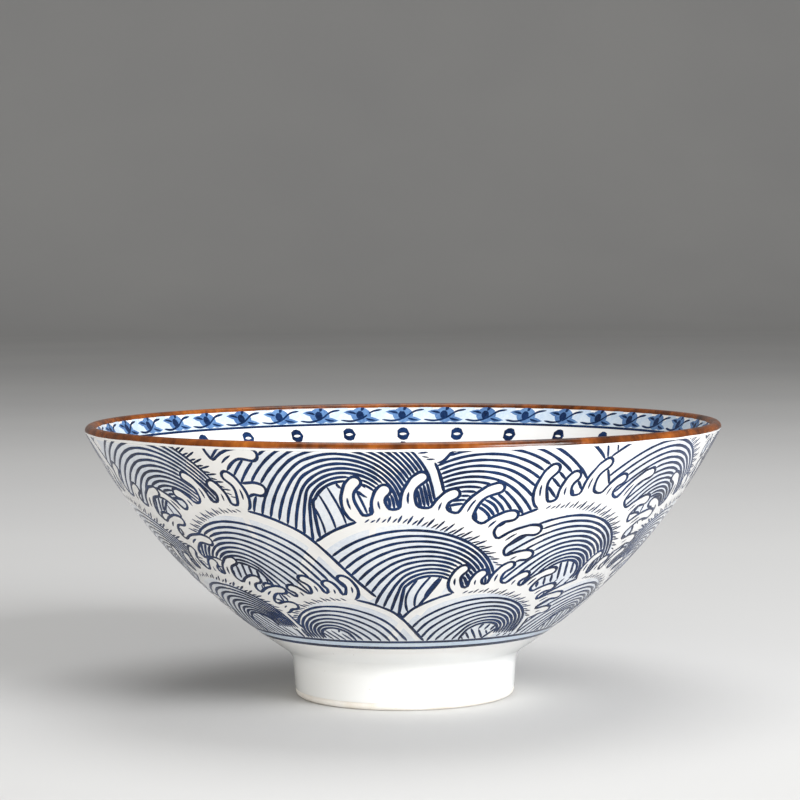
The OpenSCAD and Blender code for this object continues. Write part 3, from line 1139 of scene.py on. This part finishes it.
def make_foot_lines(ink, wash):
    """The thick and the thin line round the foot of the bowl, and the pale band between them."""
    low = angle_at(OUTER_C, WALL_CURVE_R, FOOT_LINE_Z)
    up = FOOT_LINE_GAP / WALL_CURVE_R
    half = LINE_W / 2 / WALL_CURVE_R
    thick = ring_print("foot_line_thick", low - 1.8 * half, low + 1.8 * half, RING_LIFT)
    thin = ring_print("foot_line_thin", low + up - 1.4 * half, low + up + 1.4 * half, RING_LIFT)
    between = ring_print("foot_line_wash", low + half, low + up - half / 2, 0.006)
    for piece, material in ((thick, ink), (thin, ink), (between, wash)):
        finish_piece(piece, material, "blue_print", "foot_line_pair")


def ring_angle(radius):
    """The angle on the inner wall's arc at a radius of the cup."""
    return -math.acos((radius - INNER_C[0]) / INNER_WALL_R)


def make_ring_lines(ink, wash):
    """The ring lines at the border's and the picture's edges."""
    half = LINE_W / 2 / INNER_WALL_R
    for name, radius, node in (("border_ring_line", BORDER_R, "leaf_border_print"),
                               ("picture_ring", PICTURE_R, "picture_ring_line")):
        at = ring_angle(radius)
        piece = ring_print(name, at - half, at + half, RING_LIFT, inner=True)
        finish_piece(piece, ink, "blue_print", node)
    top = angle_at(INNER_C, INNER_WALL_R, LIP_Z - 0.15)
    tint = ring_print("border_wash", ring_angle(BORDER_R) + half, top, 0.004, inner=True)
    finish_piece(tint, wash, "blue_print", "leaf_border_print")


def make_leaf_border(ink, mid_ink, soft_ink):
    """Round the inside, over a pale wash: a round bud with two leaves on a running stem."""
    stem = smooth([(-3.3, 0.7), (-1.6, 0.5), (0.2, 1.0), (1.8, 2.1), (3.3, 2.4)], 0.3)
    pale = [oval(-3.2, 2.3, 1.3, 0.6, 8, 0.5), petal(1.2, 1.2, 2.2, 1.0, 10)]
    middle = [oval(0, 1.5, 1.6, 1.3, 0, 0.5), petal(0.5, 1.1, 2.5, 1.0, -28, 0.3),
              petal(-0.5, 1.6, 2.3, 1.0, 152, 0.3)]
    dark = [oval(-0.15, 1.5, 0.62, 0.75, 0, 0.4), petal(0.7, 1.0, 1.9, 0.4, -30, 0.3),
            petal(-0.7, 1.7, 1.7, 0.4, 150, 0.3), petal(0.1, 2.2, 1.1, 0.5, 62)]
    for name, lift, outlines, material in (("border_tips", 0.008, pale, soft_ink),
                                           ("border_petals", 0.013, middle, mid_ink),
                                           ("border_buds", 0.018, dark, ink)):
        drawing = Print(on_inside, lift)
        for k in range(LEAVES):
            for outline in outlines:
                drawing.patch(on_ring(outline, BORDER_R, k / LEAVES), grid=0.6)
            if outlines is dark:
                drawing.strip(on_ring(stem, BORDER_R, k / LEAVES), 0.22)
        finish_piece(drawing.piece(name), material, "blue_print", "leaf_border_print")


def make_beads(ink):
    """Pairs of beads below the ring line: a wide one above a tall one."""
    beads = Print(on_inside, RING_LIFT)
    for k in range(BEADS):
        part = (k + 0.5) / BEADS
        beads.strip(on_ring(oval(0, -1.9, 0.85, 0.72, 0, 0.15), BORDER_R, part), 0.6)
        beads.strip(on_ring(oval(0, -4.5, 0.5, 0.8, 0, 0.15), BORDER_R, part), 0.58)
    finish_piece(beads.piece("bead_rings"), ink, "blue_print", "bead_band_print")


def make_picture(fill_ink, ink, faint_ink):
    """The dragon, as patches with lines over them, and the faint waves behind it."""

    def cover(outlines):
        return lambda p: np.any([inside(p, outline) for outline in outlines], axis=0)

    parts = dragon_parts()
    covers = [cover(fills) for fills, _ in parts]
    fill, lines, waves = Print(on_picture, 0.010), Print(on_picture, 0.046), Print(on_picture, 0.010)
    for k, (outlines, _) in enumerate(parts):
        for outline in outlines:
            fill.patch(outline, 0.0003 * (len(parts) - k))
    for curve, width in visible([(test, strokes) for test, (_, strokes) in zip(covers, parts)]):
        lines.strip(curve, width)
    behind = [(test, []) for test in covers] + ground_waves()
    for curve, width in visible(behind, keep_test=lambda p: np.abs(p) < SKETCH_R):
        waves.strip(curve, width)
    finish_piece(fill.piece("dragon_fill"), fill_ink, "blue_print", "picture_print")
    finish_piece(lines.piece("dragon_lines"), ink, "blue_print", "picture_print")
    finish_piece(waves.piece("picture_waves"), faint_ink, "blue_print", "picture_print")


def make_picture_ground(material):
    """The slightly grey ground of the picture on the floor."""
    edge = ring_angle(PICTURE_R - LINE_W / 2)
    meet_a = angle_to(INNER_C, FLOOR_C)

    def rows(lift, step):
        wall = arc(INNER_C, INNER_WALL_R - lift, edge, meet_a, step)
        return wall + arc(FLOOR_C, FLOOR_R - lift, meet_a, -math.pi / 2, step)[1:]

    piece = turned("picture_ground", rows(0.005, 0.9)[::-1] + rows(SUNK, 2.0))
    finish_piece(piece, material, "blue_print", "picture_print")


# ------------------------ stage

def make_camera():
    """The photo's view, worked out from how the rim and the foot look in it."""
    data = bpy.data.cameras.new("camera")
    data.lens = 111.06
    data.sensor_width = 36
    data.shift_x = -0.0024
    camera = bpy.data.objects.new("camera", data)
    camera.location = (0, -0.3514, 0.0608)
    camera.rotation_euler = (math.pi / 2 - 0.0536, 0.007, 0)
    bpy.context.scene.collection.objects.link(camera)
    bpy.context.scene.camera = camera


def area_light(name, place, target, size, power, colour=(1, 1, 1)):
    """A soft rectangular light at a place, aimed at a target, in metres and watts."""
    data = bpy.data.lights.new(name, "AREA")
    data.shape = "RECTANGLE"
    data.size, data.size_y = size
    data.energy = power
    data.color = colour
    light = bpy.data.objects.new(name, data)
    light.location = place
    light.rotation_euler = (Vector(target) - Vector(place)).to_track_quat("-Z", "Y").to_euler()
    bpy.context.scene.collection.objects.link(light)


def make_stage():
    """A pale floor that curves up into a wall far behind, soft lights and a pale world."""
    reach, back, radius = 2.5, 2.0, 0.6
    curve = [(back + radius * math.sin(a), radius - radius * math.cos(a))
             for a in np.linspace(0, math.pi / 2, 13)]
    line = [(-reach, 0), *curve, (back + radius, reach)]
    vertices = [(x, y, z) for y, z in line for x in (-reach, reach)]
    faces = [(2 * k, 2 * k + 1, 2 * k + 3, 2 * k + 2) for k in range(len(line) - 1)]
    floor = mesh_object("floor", np.array(vertices) / MM, faces, closed=False)
    floor.data.materials.append(floor_material())
    area_light("key", (0.5, -0.5, 0.34), (0, 0, 0.02), (0.35, 0.35), 7.4)
    area_light("fill", (-0.3, -0.65, 0.1), (0, 0, 0.005), (0.5, 0.2), 2.2, (1, 0.95, 0.88))
    area_light("top", (0.05, 0.15, 0.7), (0, 0, 0.02), (0.5, 0.5), 2.6)
    world = bpy.data.worlds.new("world")
    world.use_nodes = True
    background = world.node_tree.nodes["Background"]
    background.inputs["Color"].default_value = (1.0, 0.99, 0.97, 1)
    background.inputs["Strength"].default_value = 0.28
    bpy.context.scene.world = world


# ------------------------ the cup

make_camera()
make_stage()
glaze = glaze_material()
clay = bare_clay_material()
ink = ink_material("cobalt_ink", (0.003, 0.009, 0.034), (0.010, 0.034, 0.115))
mid_ink = ink_material("cobalt_wash_mid", (0.05, 0.12, 0.30), (0.14, 0.27, 0.50))
pale_ink = ink_material("cobalt_wash_pale", (0.52, 0.63, 0.76), (0.66, 0.74, 0.82))
make_outer_coat(glaze)
make_inner_coat(glaze)
make_base_coat(glaze)
make_foot_edge(clay)
make_lip(lip_material())
make_wave_prints(ink, ink_material("cobalt_wash_faint", (0.62, 0.67, 0.75), (0.78, 0.805, 0.83)), glaze)
make_foot_lines(ink, pale_ink)
make_ring_lines(ink, pale_ink)
make_leaf_border(ink, mid_ink, ink_material("cobalt_wash_soft", (0.46, 0.58, 0.74), (0.62, 0.72, 0.82)))
make_beads(ink)
make_picture_ground(ground_material())
make_picture(ink_material("cobalt_scales", (0.055, 0.105, 0.205), (0.16, 0.24, 0.39)), ink,
             ink_material("cobalt_faint", (0.42, 0.46, 0.54), (0.54, 0.57, 0.62)))
bpy.context.scene.view_settings.view_transform = "Standard"
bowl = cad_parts["clay_bowl"]
bowl.data.materials.clear()
bowl.data.materials.append(clay)
